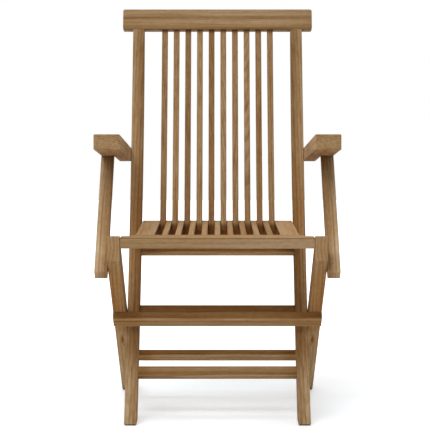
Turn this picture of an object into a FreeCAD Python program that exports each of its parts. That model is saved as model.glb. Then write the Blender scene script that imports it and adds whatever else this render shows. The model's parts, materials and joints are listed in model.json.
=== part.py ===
"""Folding teak armchair, built from its loose pieces.

All sizes are in millimetres. x runs to the right as the chair is seen from the front, y from
front to rear, z up. While the pieces are made, y = 0 is the front end of the arms; at the end
everything moves so that the origin is on the floor under the middle of the chair.
Left and right are as seen from the front. The right side is drawn and the left side mirrors it.
"""
import FreeCAD
import Part
import math
import os

os.makedirs("parts", exist_ok=True)
V = FreeCAD.Vector

# Boards, and the layers they lie in from the middle of the chair outward
BOARD = 29.7
INSIDE_WIDTH = 383.0
WASHER = 0.5
WASHER_PLAY = 0.1
LAYER_GAP = WASHER + 2 * WASHER_PLAY
STILE_IN = INSIDE_WIDTH / 2
STILE_OUT = STILE_IN + BOARD
LEG_IN = STILE_OUT + LAYER_GAP
LEG_OUT = LEG_IN + BOARD
POST_IN = LEG_OUT + LAYER_GAP
POST_OUT = POST_IN + BOARD

# Stile: the front leg and the back upright in one curved board
CURVE_R = 3204.0
CURVE_Y = -2500.0
CURVE_Z = 1902.0
STILE_WIDTH = 45.0
STILE_TOP_WIDTH = 26.0
STILE_TAPER_Z = 645.0

# Top rail
TOP_RAIL_Z = 949.0
TOP_RAIL_OVERHANG = 26.8
TOP_RAIL_HALF = STILE_OUT + TOP_RAIL_OVERHANG
TOP_RAIL_HEIGHT = 54.9
TOP_RAIL_THICK = 24.0
TOP_RAIL_CORNER = 5.0

# Seat
SEAT_TOP = 456.5
SEAT_FRONT_Y = -22.0
FRONT_RAIL_THICK = 25.2
FRONT_RAIL_DEPTH = 68.0
EAR_WIDTH = 22.2
EAR_DEPTH = 40.0
EAR_RADIUS = 9.0
SEAT_SLAT_THICK = 20.0
SEAT_SLAT_WIDTH = 13.8
OUTER_SLAT_WIDTH = 21.9
SIDE_RAIL_WIDTH = 21.8
BACK_SLATS = 10
SEAT_SIDE_PLAY = 1.7
REAR_RAIL_DEPTH = 22.0
REAR_RAIL_HEIGHT = 30.0
REAR_RAIL_NOSE = 6.0
REAR_RAIL_CLEAR = 14.0

# Across the seat, from the middle outward: slats, an outer slat, a side rail. The ten back
# slats stand in the gaps, so the same pitch spaces them and SLAT_PASS is the room at each side.
SLAT_PASS = 0.8
SEAT_HALF = STILE_IN - SEAT_SIDE_PLAY
OUTER_SLAT_END = SEAT_HALF - SIDE_RAIL_WIDTH
OUTER_SLAT_START = OUTER_SLAT_END - OUTER_SLAT_WIDTH
SEAT_PITCH = 2 * (OUTER_SLAT_START + SEAT_SLAT_WIDTH / 2) / BACK_SLATS

# Back slats
BACK_SLAT_WIDTH = SEAT_PITCH - SEAT_SLAT_WIDTH - 2 * SLAT_PASS
BACK_SLAT_THICK = 13.0
BACK_SLAT_SET = 22.0

# Rails of the back frame: height along the stile, thickness. The lower back rail is planed
# level under the seat, so its own height is the board's before planing.
LOWER_RAIL_HEIGHT = 80.0
LOWER_RAIL_THICK = 20.0
LOWER_RAIL_FOOT_Z = 382.4
LOWER_RAIL_SET = 22.0
PIVOT_RAIL_HEIGHT = 24.0
PIVOT_RAIL_THICK = 20.0
PIVOT_RAIL_ABOVE = 13.0
STRETCHER_HEIGHT = 26.2
STRETCHER_THICK = 20.0
STRETCHER_Z = 110.3
STRETCHER_SET = 11.0

# Rear leg, and the rails of the leg frame
LEG_WIDTH = 50.0
LEG_SLOPE = 37.0
LEG_TOP_Z = 459.5
LEG_HEEL_TRIM = 6.0
LEG_TOP_SHARE = 0.32
PIVOT_Z = 224.6
BRACE_ALONG = 284.0
BRACE_ACROSS = 12.0
CROSS_BOARD_ALONG = 46.4
CROSS_BOARD_HEIGHT = 41.0
CROSS_BOARD_THICK = 17.5
REAR_STRETCHER_ALONG = 174.0
REAR_STRETCHER_HEIGHT = 31.2
REAR_STRETCHER_THICK = 17.0

# Arm and post
ARM_PIVOT_Z = 624.5
ARM_PIVOT_SET = 18.4
ARM_LENGTH = 462.0
ARM_THICK = 35.3
ARM_TO_POST = 192.4
ARM_CORNER = 5.0
SHOULDER_CLEAR = 0.5
POST_WIDTH = 28.0
POST_TAIL = 26.0
POST_CORNER = 4.0

# Thin dark pads that the feet stand on
PAD_THICK = 3.0
PAD_INSET = 1.5
PAD_CORNER = 3.0

# Pivot of the seat on the leg tops
SEAT_PIVOT_Y = -6.0
SEAT_PIVOT_Z = 440.5

# Hardware
BOLT_R = 4.0
SEAT_BOLT_R = 3.0
HEAD_R = 7.5
HEAD_H = 3.6
SEAT_HEAD_R = 6.0
NUT_FLATS = 13.0
NUT_H = 6.0
NUT_R = NUT_FLATS / math.sqrt(3)
SINK = 1.0
RECESS_PLAY = 0.8
WASHER_R = 11.0
SEAT_WASHER_R = 9.0
RUN_FIT = 0.08
FIXED_FIT = 0.05
INSERT_R = 6.0
INSERT_LENGTH = 15.0
SEAT_BOLT_GRIP = 24.0
DOWEL_R = 4.0
DOWEL_LENGTH = 24.0
DOWEL_IN_BOARD = 11.0
DOWEL_SPACING = 20.0

# Joinery and edges
ARRIS = 2.5
SLAT_ARRIS = 1.6
BEVEL = 1.4
SLAT_BEVEL = 1.1
TENON_LENGTH = 18.0
TENON_SHOULDER = 5.0
TENON_THICK = 10.0
STILE_TENON_LENGTH = 26.0
SLAT_TENON_LENGTH = 14.0
SLAT_TENON_SHOULDER = 2.5
SLAT_TENON_THICK = 7.0
TENON_FIT = 0.05
MORTISE_SPARE = 1.0


def add(a, b, scale=1.0):
    """Point a moved by b times scale, in the side view."""
    return (a[0] + b[0] * scale, a[1] + b[1] * scale)


def flat(p, x=0.0):
    return V(x, p[0], p[1])


def on_curve(depth, z):
    """Point at height z on the arc that lies depth behind the stile's front face."""
    r = CURVE_R + depth
    return (CURVE_Y + math.sqrt(r * r - (z - CURVE_Z) ** 2), z)


def axes_at(p):
    """Unit vectors up along the stile and straight back from it, at a point."""
    dy = p[0] - CURVE_Y
    dz = p[1] - CURVE_Z
    r = math.hypot(dy, dz)
    return (-dz / r, dy / r), (dy / r, dz / r)


def prism(points, x0, x1):
    """Polygon in the side view, given as (y, z), between two x positions."""
    loop = [flat(p, x0) for p in points]
    face = Part.Face(Part.makePolygon(loop + loop[:1]))
    return face.extrude(V(x1 - x0, 0, 0))


def profile(edges, x0, x1):
    face = Part.Face(Part.Wire(Part.__sortEdges__(edges)))
    face.translate(V(x0, 0, 0))
    return face.extrude(V(x1 - x0, 0, 0))


def line(a, b):
    return Part.makeLine(flat(a), flat(b))


def curve(depth_at, z0, z1, count=9):
    """Smooth curve whose depth behind the stile's front face follows a function of height."""
    steps = [z0 + (z1 - z0) * k / (count - 1) for k in range(count)]
    spline = Part.BSplineCurve()
    spline.interpolate(Points=[flat(on_curve(depth_at(z), z)) for z in steps])
    return spline.toShape()


def arc(a, m, b):
    return Part.Arc(flat(a), flat(m), flat(b)).toShape()


def section(centre, along, height, thick):
    """Four corners of a rail's cross section whose height runs along a direction."""
    across = (along[1], -along[0])
    corners = []
    for h, t in ((-1, -1), (1, -1), (1, 1), (-1, 1)):
        p = add(centre, along, h * height / 2)
        corners.append(add(p, across, t * thick / 2))
    return corners


def box(x0, x1, y0, y1, z0, z1):
    return Part.makeBox(x1 - x0, y1 - y0, z1 - z0, V(x0, y0, z0))


def disc(p, x0, x1, r):
    return Part.makeCylinder(r, x1 - x0, flat(p, x0), V(1, 0, 0))


def mirrored(shape):
    return shape.mirror(V(0, 0, 0), V(1, 0, 0))


def both(shape):
    return [shape, mirrored(shape)]


def eased(shape, radius, wanted):
    """Round the edges that a test picks."""
    return shape.makeFillet(radius, [e for e in shape.Edges if wanted(e)])


def planed(shape, size, wanted):
    """Plane a narrow bevel on the edges that a test picks."""
    return shape.makeChamfer(size, [e for e in shape.Edges if wanted(e)])


def in_side(e):
    return e.BoundBox.XLength < 1e-4


def along_x(e):
    return e.BoundBox.YLength < 1e-4 and e.BoundBox.ZLength < 1e-4 and e.BoundBox.XLength > 20


def along_y(e):
    return e.BoundBox.XLength < 1e-4 and e.BoundBox.ZLength < 1e-4 and e.BoundBox.YLength > 60


def is_level(e):
    return e.BoundBox.ZLength < 1e-4


def is_upright(e):
    return e.BoundBox.XLength < 1e-4 and e.BoundBox.YLength < 1e-4


def bolt(p, x_tip, x_seat, r, head_r):
    """Cap-headed bolt along x with its head on the outer side, drawn as a turned profile."""
    crown = x_seat + HEAD_H
    pts = [V(x_tip, 0, 0), V(x_tip, r - 0.6, 0), V(x_tip + 0.6, r, 0), V(x_seat, r, 0),
           V(x_seat, head_r, 0), V(crown - 1.2, head_r, 0), V(crown, head_r - 1.2, 0),
           V(crown, 2.6, 0), V(crown - 2.2, 2.6, 0), V(crown - 2.2, 0, 0)]
    turned = Part.Face(Part.makePolygon(pts + pts[:1])).revolve(V(0, 0, 0), V(1, 0, 0), 360)
    turned.translate(flat(p))
    return turned


def hex_nut(p, x0, bore_r):
    pts = []
    for k in range(6):
        a = math.radians(60 * k)
        pts.append((p[0] + NUT_R * math.cos(a), p[1] + NUT_R * math.sin(a)))
    return prism(pts, x0, x0 + NUT_H).cut(disc(p, x0 - 1, x0 + NUT_H + 1, bore_r))


def washer(p, x_in, bore_r, r):
    x0 = x_in + WASHER_PLAY
    return disc(p, x0, x0 + WASHER, r).cut(disc(p, x0 - 1, x0 + WASHER + 1, bore_r))


nodes = []


def keep(name, shape):
    nodes.append((name, shape))


# Points of the linkage in the side view
pivot = on_curve(STILE_WIDTH / 2, PIVOT_Z)
slope = math.radians(LEG_SLOPE)
leg_up = (-math.cos(slope), math.sin(slope))
leg_front = (-math.sin(slope), -math.cos(slope))
brace = add(add(pivot, leg_up, BRACE_ALONG), leg_front, BRACE_ACROSS)
arm_pivot = on_curve(ARM_PIVOT_SET, ARM_PIVOT_Z)
seat_pivot = (SEAT_PIVOT_Y, SEAT_PIVOT_Z)

# The post is as long as a fold with all four bars in line asks for
ab = math.dist(pivot, arm_pivot)
pb = math.dist(pivot, brace)
POST_LENGTH = ab + ARM_TO_POST - pb


def elbow(brace_at, arm_at):
    """Pivot of post and arm: the upper crossing of their two circles."""
    d = math.dist(brace_at, arm_at)
    a = (POST_LENGTH ** 2 - ARM_TO_POST ** 2 + d * d) / (2 * d)
    h = math.sqrt(max(POST_LENGTH ** 2 - a * a, 0.0))
    u = ((arm_at[0] - brace_at[0]) / d, (arm_at[1] - brace_at[1]) / d)
    return add(add(brace_at, u, a), (-u[1], u[0]), h)


post_pivot = elbow(brace, arm_pivot)


def unit(a, b):
    d = math.dist(a, b)
    return ((b[0] - a[0]) / d, (b[1] - a[1]) / d)


post_up = unit(brace, post_pivot)
post_front = (-post_up[1], post_up[0])
arm_out = unit(arm_pivot, post_pivot)
arm_top = (arm_out[1], -arm_out[0])
if arm_top[1] < 0:
    arm_top = (-arm_top[0], -arm_top[1])

# Levels and planes that several pieces share
SEAT_UNDER = SEAT_TOP - SEAT_SLAT_THICK
rail_foot = on_curve(0.0, TOP_RAIL_Z)
top_up, top_back = axes_at(rail_foot)
SLAT_SET_TOP = TOP_RAIL_THICK / 2
FRONT_RAIL_REAR = SEAT_FRONT_Y + FRONT_RAIL_DEPTH


def slat_depth(z):
    """Depth of the back slats' middle behind the stile's front face."""
    share = (z - SEAT_UNDER) / (TOP_RAIL_Z - SEAT_UNDER)
    return BACK_SLAT_SET + (SLAT_SET_TOP - BACK_SLAT_SET) * share


slat_back = on_curve(slat_depth(SEAT_TOP) + BACK_SLAT_THICK / 2, SEAT_TOP)
REAR_RAIL_Y = slat_back[0] + REAR_RAIL_CLEAR

# Recesses for heads and nuts
HEAD_SINK = HEAD_H + SINK
NUT_SINK = NUT_H + SINK


def head_recess(p, x_face, r):
    return disc(p, x_face - HEAD_SINK, x_face + 1, r + RECESS_PLAY)


def nut_recess(p, x_face):
    return disc(p, x_face - 1, x_face + NUT_SINK, NUT_R + RECESS_PLAY)


# Stiles. They are drawn too long, eased, and then cut level at the foot and square at the top.
SPARE = 30.0


def stile_width(z):
    """Side width of the stile: full up to the arm pivot, then thinner towards the top rail."""
    share = max(0.0, (z - STILE_TAPER_Z) / (TOP_RAIL_Z - STILE_TAPER_Z))
    return STILE_WIDTH - (STILE_WIDTH - STILE_TOP_WIDTH) * share ** 2


def stile_front(z):
    return 0.0


foot_front = on_curve(0.0, PAD_THICK)
foot_rear = on_curve(STILE_WIDTH, PAD_THICK)
ends = (-SPARE, TOP_RAIL_Z + SPARE)
stile = profile([
    curve(stile_front, *ends),
    line(on_curve(0.0, ends[1]), on_curve(stile_width(ends[1]), ends[1])),
    curve(stile_width, *ends, 17),
    line(on_curve(STILE_WIDTH, ends[0]), on_curve(0.0, ends[0])),
], STILE_IN, STILE_OUT)
stile = planed(stile, BEVEL, lambda e: in_side(e) and e.Length > 100)
above_rail_foot = prism([add(rail_foot, top_back, -90), add(rail_foot, top_back, 90),
                         add(add(rail_foot, top_back, 90), top_up, 90),
                         add(add(rail_foot, top_back, -90), top_up, 90)], -LEG_OUT, LEG_OUT)
stile = stile.cut(above_rail_foot).cut(box(0, LEG_OUT, -100, 700, -100, PAD_THICK))


def stile_tenon(fit, spare):
    mid = add(rail_foot, top_back, TOP_RAIL_THICK / 2)
    foot = add(mid, top_up, -spare)
    tip = add(mid, top_up, STILE_TENON_LENGTH + spare)
    half = TENON_THICK / 2 + fit
    pts = [add(foot, top_back, -half), add(tip, top_back, -half),
           add(tip, top_back, half), add(foot, top_back, half)]
    return prism(pts, STILE_IN + TENON_SHOULDER - fit, STILE_OUT - TENON_SHOULDER + fit)


stile = stile.fuse(stile_tenon(0.0, 0.0)).removeSplitter()

# Rails between the stiles
pivot_axes = axes_at(pivot)
pivot_rail_mid = add(pivot, pivot_axes[0], PIVOT_RAIL_ABOVE + PIVOT_RAIL_HEIGHT / 2)
stretcher_mid = on_curve(STRETCHER_SET, STRETCHER_Z)
stretcher_up = axes_at(stretcher_mid)[0]
lower_foot = on_curve(LOWER_RAIL_SET - LOWER_RAIL_THICK / 2, LOWER_RAIL_FOOT_Z)
lower_up, lower_back = axes_at(on_curve(LOWER_RAIL_SET, (LOWER_RAIL_FOOT_Z + SEAT_UNDER) / 2))
lower_mid = add(add(lower_foot, lower_back, LOWER_RAIL_THICK / 2), lower_up, LOWER_RAIL_HEIGHT / 2)
above_lower = box(-LEG_OUT, LEG_OUT, 0, 800, SEAT_UNDER, SEAT_UNDER + 200)


def rail_tenons(mid, up, height, fit, spare):
    reach = STILE_IN + TENON_LENGTH + spare
    return prism(section(mid, up, height - 2 * TENON_SHOULDER + 2 * fit, TENON_THICK + 2 * fit),
                 -reach, reach)


def rail(mid, up, height, thick, radius):
    body = prism(section(mid, up, height, thick), -STILE_IN, STILE_IN)
    body = eased(body, radius, along_x)
    return body.fuse(rail_tenons(mid, up, height, 0.0, 0.0)).removeSplitter()


LOWER_TENON_HEIGHT = 40.0
lower_tenon_mid = add(lower_mid, lower_up, (LOWER_TENON_HEIGHT - LOWER_RAIL_HEIGHT) / 2)
lower_rail = prism(section(lower_mid, lower_up, LOWER_RAIL_HEIGHT, LOWER_RAIL_THICK),
                   -STILE_IN, STILE_IN).cut(above_lower)
lower_rail = eased(lower_rail, ARRIS, along_x)
lower_rail = lower_rail.fuse(
    rail_tenons(lower_tenon_mid, lower_up, LOWER_TENON_HEIGHT, 0.0, 0.0)).removeSplitter()
pivot_rail = rail(pivot_rail_mid, pivot_axes[0], PIVOT_RAIL_HEIGHT, PIVOT_RAIL_THICK, ARRIS)
stretcher = rail(stretcher_mid, stretcher_up, STRETCHER_HEIGHT, STRETCHER_THICK, ARRIS)

for mid, up, height in ((lower_tenon_mid, lower_up, LOWER_TENON_HEIGHT),
                        (pivot_rail_mid, pivot_axes[0], PIVOT_RAIL_HEIGHT),
                        (stretcher_mid, stretcher_up, STRETCHER_HEIGHT)):
    stile = stile.cut(rail_tenons(mid, up, height, TENON_FIT, MORTISE_SPARE))
for p in (pivot, arm_pivot):
    stile = stile.cut(disc(p, STILE_IN - 1, STILE_OUT + 1, BOLT_R + FIXED_FIT))
    stile = stile.cut(nut_recess(p, STILE_IN))
keep("stile_right", stile)
keep("stile_left", mirrored(stile))


def foot_pad(x0, x1, y0, y1):
    pad = box(x0 + PAD_INSET, x1 - PAD_INSET, y0 + PAD_INSET, y1 - PAD_INSET, 0.0, PAD_THICK)
    return eased(pad, PAD_CORNER, is_upright)


keep("front_foot_pads", Part.makeCompound(both(
    foot_pad(STILE_IN, STILE_OUT, foot_front[0], foot_rear[0]))))

# Back slats: one curved slat, copied across
half_slat = BACK_SLAT_THICK / 2
slat_foot = on_curve(slat_depth(SEAT_UNDER), SEAT_UNDER)
slat_top = add(rail_foot, top_back, SLAT_SET_TOP)
ends = (SEAT_UNDER - SPARE, TOP_RAIL_Z + SPARE)


def slat_front(z):
    return slat_depth(z) - half_slat


def slat_rear(z):
    return slat_depth(z) + half_slat


slat = profile([
    curve(slat_front, *ends),
    line(on_curve(slat_front(ends[1]), ends[1]), on_curve(slat_rear(ends[1]), ends[1])),
    curve(slat_rear, *ends),
    line(on_curve(slat_rear(ends[0]), ends[0]), on_curve(slat_front(ends[0]), ends[0])),
], -BACK_SLAT_WIDTH / 2, BACK_SLAT_WIDTH / 2)
slat = planed(slat, SLAT_BEVEL, lambda e: in_side(e) and e.Length > 100)
slat = slat.cut(above_rail_foot).cut(box(-50, 50, 0, 700, 0, SEAT_UNDER))


def slat_tenons(fit, spare):
    half_x = BACK_SLAT_WIDTH / 2 - SLAT_TENON_SHOULDER + fit
    thick = SLAT_TENON_THICK + 2 * fit
    length = SLAT_TENON_LENGTH + spare
    up = prism(section(add(slat_top, top_up, length / 2), top_up, length, thick), -half_x, half_x)
    foot_up = axes_at(slat_foot)[0]
    reach = length + BACK_SLAT_THICK / 2
    down = prism(section(add(slat_foot, foot_up, -reach / 2 + half_slat), foot_up, reach, thick),
                 -half_x, half_x)
    down = down.cut(box(-20, 20, 0, 900, SEAT_UNDER + spare, SEAT_UNDER + 100))
    return up.fuse(down)


slat = slat.fuse(slat_tenons(0.0, 0.0)).removeSplitter()
slat_xs = [SEAT_PITCH * (k - (BACK_SLATS - 1) / 2) for k in range(BACK_SLATS)]

# Top rail
rail_tip = add(rail_foot, top_up, TOP_RAIL_HEIGHT)
top_rail = prism([rail_foot, rail_tip, add(rail_tip, top_back, TOP_RAIL_THICK),
                  add(rail_foot, top_back, TOP_RAIL_THICK)], -TOP_RAIL_HALF, TOP_RAIL_HALF)


def rail_corner(e):
    return in_side(e) and abs(e.Length - TOP_RAIL_THICK) < 1e-3


top_rail = eased(top_rail, TOP_RAIL_CORNER, rail_corner)
top_rail = planed(top_rail, BEVEL, along_x)
for half in both(stile_tenon(TENON_FIT, MORTISE_SPARE)):
    top_rail = top_rail.cut(half)
mortises = slat_tenons(TENON_FIT, MORTISE_SPARE)
for x in slat_xs:
    cutter = mortises.copy()
    cutter.translate(V(x, 0, 0))
    top_rail = top_rail.cut(cutter)
    lower_rail = lower_rail.cut(cutter)
keep("top_rail", top_rail)
keep("lower_back_rail", lower_rail)
keep("pivot_rail", pivot_rail)
keep("front_stretcher", stretcher)
for k, x in enumerate(slat_xs):
    piece = slat.copy()
    piece.translate(V(x, 0, 0))
    keep("back_slat_%02d" % (k + 1), piece)

# Rear legs
upper = add(pivot, leg_front, -LEG_WIDTH / 2)
lower = add(pivot, leg_front, LEG_WIDTH / 2)


def leg_at_y(p, y):
    return add(p, leg_up, (y - p[0]) / leg_up[0])


def leg_at_z(p, z):
    return add(p, leg_up, (z - p[1]) / leg_up[1])


heel = leg_at_z(upper, PAD_THICK)
heel_top = leg_at_y(upper, heel[0] - LEG_HEEL_TRIM)
leg_top = leg_at_z(upper, LEG_TOP_Z)
leg = prism([leg_at_y(lower, SEAT_FRONT_Y), (SEAT_FRONT_Y, LEG_TOP_Z), leg_top,
             heel_top, (heel_top[0], PAD_THICK), leg_at_z(lower, PAD_THICK)], LEG_IN, LEG_OUT)
leg_arris = min(ARRIS, LEG_TOP_SHARE * (leg_top[0] - SEAT_FRONT_Y))
leg = eased(leg, leg_arris, lambda e: in_side(e) and e.Length > 30 and e.BoundBox.ZMax > PAD_THICK + 1)


def leg_box(along0, along1, front0, front1, x0, x1):
    pts = []
    for a, f in ((along0, front0), (along1, front0), (along1, front1), (along0, front1)):
        pts.append(add(add(pivot, leg_up, a), leg_front, f))
    return prism(pts, x0, x1)


face = LEG_WIDTH / 2
cross_board = leg_box(CROSS_BOARD_ALONG, CROSS_BOARD_ALONG + CROSS_BOARD_HEIGHT,
                      face, face + CROSS_BOARD_THICK, -LEG_OUT, LEG_OUT)


def off_face(e):
    """Edges of the cross board away from the face that lies on the legs."""
    m = e.CenterOfMass
    reach = (m.y - pivot[0]) * leg_front[0] + (m.z - pivot[1]) * leg_front[1]
    return reach > face + CROSS_BOARD_THICK - 0.01


cross_board = eased(cross_board, ARRIS, off_face)


def rear_section(fit, shoulder, half):
    mid = REAR_STRETCHER_ALONG + REAR_STRETCHER_HEIGHT / 2
    tall = REAR_STRETCHER_HEIGHT / 2 - shoulder + fit
    thick = (TENON_THICK if shoulder else REAR_STRETCHER_THICK) / 2 + fit
    return leg_box(-mid - tall, -mid + tall, -thick, thick, -half, half)


rear_stretcher = eased(rear_section(0.0, 0.0, LEG_IN), ARRIS, along_x)
rear_stretcher = rear_stretcher.fuse(
    rear_section(0.0, TENON_SHOULDER, LEG_IN + TENON_LENGTH)).removeSplitter()
leg = leg.cut(rear_section(TENON_FIT, TENON_SHOULDER, LEG_IN + TENON_LENGTH + MORTISE_SPARE))

dowels = []
board_mid = CROSS_BOARD_ALONG + CROSS_BOARD_HEIGHT / 2
leg_mid_x = (LEG_IN + LEG_OUT) / 2
normal = flat(leg_front)
for step in (-0.5, 0.5):
    start = add(add(pivot, leg_up, board_mid + step * DOWEL_SPACING), leg_front,
                face + DOWEL_IN_BOARD - DOWEL_LENGTH)
    dowels.append(Part.makeCylinder(DOWEL_R, DOWEL_LENGTH, flat(start, leg_mid_x), normal))
    base = add(start, leg_front, -MORTISE_SPARE)
    hole = Part.makeCylinder(DOWEL_R + FIXED_FIT, DOWEL_LENGTH + 2 * MORTISE_SPARE,
                             flat(base, leg_mid_x), normal)
    leg = leg.cut(hole)
    for each in both(hole):
        cross_board = cross_board.cut(each)

leg = leg.cut(disc(pivot, LEG_IN - 1, LEG_OUT + 1, BOLT_R + RUN_FIT))
leg = leg.cut(head_recess(pivot, LEG_OUT, HEAD_R))
leg = leg.cut(disc(seat_pivot, LEG_IN - 1, LEG_OUT + 1, SEAT_BOLT_R + RUN_FIT))
leg = leg.cut(head_recess(seat_pivot, LEG_OUT, SEAT_HEAD_R))
leg = leg.cut(disc(brace, LEG_OUT - INSERT_LENGTH - SINK, LEG_OUT + 1, INSERT_R + FIXED_FIT))
insert = disc(brace, LEG_OUT - INSERT_LENGTH, LEG_OUT, INSERT_R)
insert = insert.cut(disc(brace, LEG_OUT - INSERT_LENGTH - 1, LEG_OUT + 1, BOLT_R + RUN_FIT))
keep("rear_leg_right", leg)
keep("rear_leg_left", mirrored(leg))
keep("rear_foot_pads", Part.makeCompound(both(
    foot_pad(LEG_IN, LEG_OUT, leg_at_z(lower, PAD_THICK)[0], heel_top[0]))))
keep("cross_board", cross_board)
keep("rear_stretcher", rear_stretcher)
keep("board_dowels", Part.makeCompound([s for d in dowels for s in both(d)]))
keep("leg_inserts", Part.makeCompound(both(insert)))

# Seat front rail, with an ear at each end that reaches the leg
front_under = SEAT_TOP - FRONT_RAIL_THICK
ear_y = SEAT_FRONT_Y + EAR_DEPTH
front_rail_half = STILE_OUT - EAR_WIDTH
plan = [(-STILE_OUT, SEAT_FRONT_Y), (STILE_OUT, SEAT_FRONT_Y), (STILE_OUT, ear_y),
        (front_rail_half, ear_y), (front_rail_half, FRONT_RAIL_REAR),
        (-front_rail_half, FRONT_RAIL_REAR), (-front_rail_half, ear_y), (-STILE_OUT, ear_y)]
loop = [V(x, y, front_under) for x, y in plan]
front_rail = Part.Face(Part.makePolygon(loop + loop[:1])).extrude(V(0, 0, FRONT_RAIL_THICK))
front_rail = eased(front_rail, EAR_RADIUS, lambda e: is_upright(e) and e.BoundBox.YMin > 0)
front_rail = eased(front_rail, ARRIS, lambda e: is_level(e) and e.BoundBox.XLength > 300
                   and e.BoundBox.YMin < 0)

# Seat rear rail: its front top edge is a wide round where it passes the slats
rear_rail = box(-SEAT_HALF, SEAT_HALF, REAR_RAIL_Y, REAR_RAIL_Y + REAR_RAIL_DEPTH,
                SEAT_TOP - REAR_RAIL_HEIGHT, SEAT_TOP)
rear_rail = eased(rear_rail, ARRIS, lambda e: along_x(e) and e.BoundBox.YMin > REAR_RAIL_Y + 1)

# Boards between the two seat rails
seat_boards = []
for k in range(BACK_SLATS - 1):
    mid = (k + 1 - BACK_SLATS / 2) * SEAT_PITCH
    seat_boards.append((mid - SEAT_SLAT_WIDTH / 2, mid + SEAT_SLAT_WIDTH / 2))
seat_boards.insert(0, (-OUTER_SLAT_END, -OUTER_SLAT_START))
seat_boards.append((OUTER_SLAT_START, OUTER_SLAT_END))
rails_at = [(-SEAT_HALF, -OUTER_SLAT_END), (OUTER_SLAT_END, SEAT_HALF)]


def seat_tenon(x0, x1, fit, spare):
    z_mid = SEAT_TOP - SEAT_SLAT_THICK / 2
    half = SLAT_TENON_THICK / 2 + fit
    inset = SLAT_TENON_SHOULDER - fit
    return box(x0 + inset, x1 - inset, FRONT_RAIL_REAR - SLAT_TENON_LENGTH - spare,
               REAR_RAIL_Y + SLAT_TENON_LENGTH + spare, z_mid - half, z_mid + half)


def seat_board(x0, x1):
    body = box(x0, x1, FRONT_RAIL_REAR, REAR_RAIL_Y, SEAT_UNDER, SEAT_TOP)
    body = eased(body, SLAT_ARRIS, along_y)
    return body.fuse(seat_tenon(x0, x1, 0.0, 0.0)).removeSplitter()


for x0, x1 in seat_boards + rails_at:
    slot = seat_tenon(x0, x1, TENON_FIT, MORTISE_SPARE)
    front_rail = front_rail.cut(slot)
    rear_rail = rear_rail.cut(slot)
front_rail = front_rail.cut(disc(seat_pivot, STILE_OUT - SEAT_BOLT_GRIP - SINK, STILE_OUT + 1,
                                 SEAT_BOLT_R + FIXED_FIT))
front_rail = front_rail.cut(disc(seat_pivot, -STILE_OUT - 1, -STILE_OUT + SEAT_BOLT_GRIP + SINK,
                                 SEAT_BOLT_R + FIXED_FIT))
keep("seat_front_rail", front_rail)
keep("seat_rear_rail", rear_rail)
for k, (x0, x1) in enumerate(seat_boards):
    keep("seat_slat_%02d" % (k + 1), seat_board(x0, x1))
for side, (x0, x1) in zip(("left", "right"), rails_at):
    keep("seat_side_rail_" + side, seat_board(x0, x1))

# Posts
post_r = POST_WIDTH / 2
tail = add(brace, post_up, -POST_TAIL)


def post_point(p, side):
    return add(p, post_front, side * post_r)


post = profile([
    line(post_point(tail, 1), post_point(post_pivot, 1)),
    arc(post_point(post_pivot, 1), add(post_pivot, post_up, post_r), post_point(post_pivot, -1)),
    line(post_point(post_pivot, -1), post_point(tail, -1)),
    line(post_point(tail, -1), post_point(tail, 1)),
], POST_IN, POST_OUT)


def tail_corner(e):
    return along_x(e) and abs(math.dist((e.CenterOfMass.y, e.CenterOfMass.z), tail) - post_r) < 0.1


post = eased(post, POST_CORNER, tail_corner)
post = planed(post, BEVEL, in_side)
post = post.cut(disc(post_pivot, POST_IN - 1, POST_OUT + 1, BOLT_R + RUN_FIT))
post = post.cut(disc(brace, POST_IN - 1, POST_OUT + 1, BOLT_R + FIXED_FIT))
for p in (post_pivot, brace):
    post = post.cut(head_recess(p, POST_OUT, HEAD_R))
keep("arm_post_right", post)
keep("arm_post_left", mirrored(post))

# Arms: full width in front, half width beside the post
arm_r = ARM_THICK / 2
arm_front = add(arm_pivot, arm_out, ARM_LENGTH)


def arm_point(p, side):
    return add(p, arm_top, side * arm_r)


arm = profile([
    line(arm_point(arm_front, -1), arm_point(arm_front, 1)),
    line(arm_point(arm_front, 1), arm_point(arm_pivot, 1)),
    arc(arm_point(arm_pivot, 1), add(arm_pivot, arm_out, -arm_r), arm_point(arm_pivot, -1)),
    line(arm_point(arm_pivot, -1), arm_point(arm_front, -1)),
], LEG_IN, LEG_OUT)
shoulder = add(post_pivot, post_front, post_r + SHOULDER_CLEAR)


def on_shoulder(side):
    """Where the shoulder's slope meets the arm's upper or lower face."""
    start = arm_point(arm_pivot, side)
    det = arm_out[0] * -post_up[1] + arm_out[1] * post_up[0]
    dy = shoulder[0] - start[0]
    dz = shoulder[1] - start[1]
    return add(start, arm_out, (dy * -post_up[1] + dz * post_up[0]) / det)


arm_wide = prism([arm_point(arm_front, -1), arm_point(arm_front, 1), on_shoulder(1),
                  on_shoulder(-1)], LEG_OUT, POST_OUT)
arm = arm.fuse(arm_wide).removeSplitter()


def arm_front_corner(e):
    m = e.CenterOfMass
    return in_side(e) and abs(e.Length - ARM_THICK) < 0.1 and math.dist((m.y, m.z), arm_front) < 1


def arm_arris(e):
    m = e.CenterOfMass
    outside = abs(m.x - LEG_IN) < 0.01 or abs(m.x - POST_OUT) < 0.01
    return in_side(e) and outside


arm = eased(arm, ARM_CORNER, arm_front_corner)
arm = planed(arm, BEVEL, arm_arris)
arm = arm.cut(disc(arm_pivot, LEG_IN - 1, LEG_OUT + 1, BOLT_R + RUN_FIT))
arm = arm.cut(head_recess(arm_pivot, LEG_OUT, HEAD_R))
arm = arm.cut(disc(post_pivot, LEG_IN - 1, LEG_OUT + 1, BOLT_R + FIXED_FIT))
arm = arm.cut(nut_recess(post_pivot, LEG_IN))
keep("arm_right", arm)
keep("arm_left", mirrored(arm))

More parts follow.
